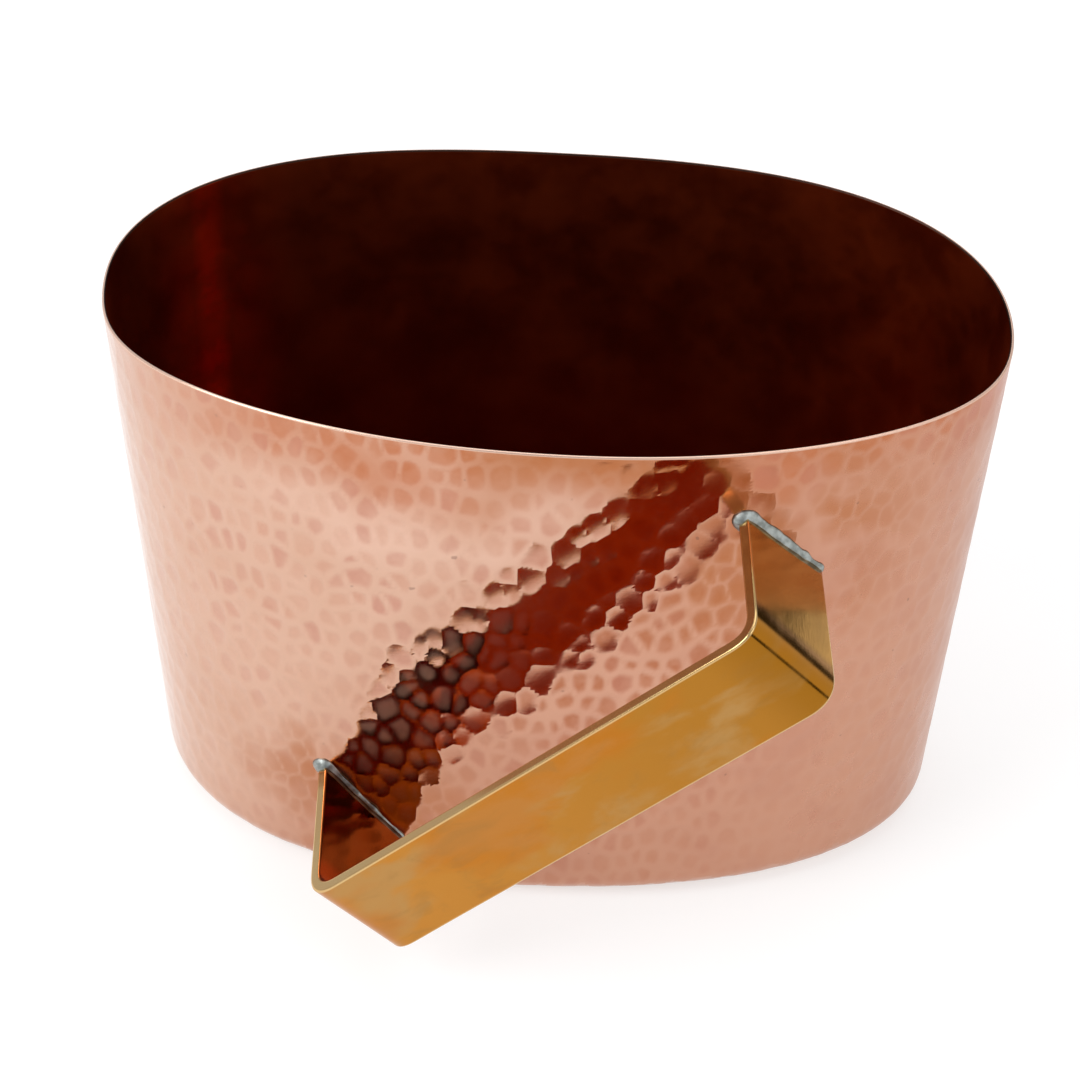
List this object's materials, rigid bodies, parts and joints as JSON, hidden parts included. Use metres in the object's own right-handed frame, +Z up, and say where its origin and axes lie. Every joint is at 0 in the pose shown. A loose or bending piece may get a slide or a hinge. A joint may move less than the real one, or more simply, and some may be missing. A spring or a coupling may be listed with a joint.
{
  "type": "ice bucket",
  "caption": "Open oval bucket for ice and bottles, in thin hammered copper, with a slanting flat brass strap handle soldered across each broad side.",
  "frame": {"origin": "centre of the flat bottom face, on the surface that the bucket stands on", "axes": "+Z up to the rim, +X along the oval's length, -Y out through the front handle"},
  "size_m": [0.3076, 0.2704, 0.2095],
  "materials": {
    "copper": "hand-hammered and polished outside, smooth and darkened inside",
    "brass": "hand-polished, lightly tarnished",
    "solder": "dull silver-grey solder, left as it flowed"
  },
  "bodies": {
    "root": {"vessel": "copper", "front_handle": "brass", "rear_handle": "brass", "front_upper_solder": "solder", "front_lower_solder": "solder", "rear_upper_solder": "solder", "rear_lower_solder": "solder"}
  },
  "joints": []
}
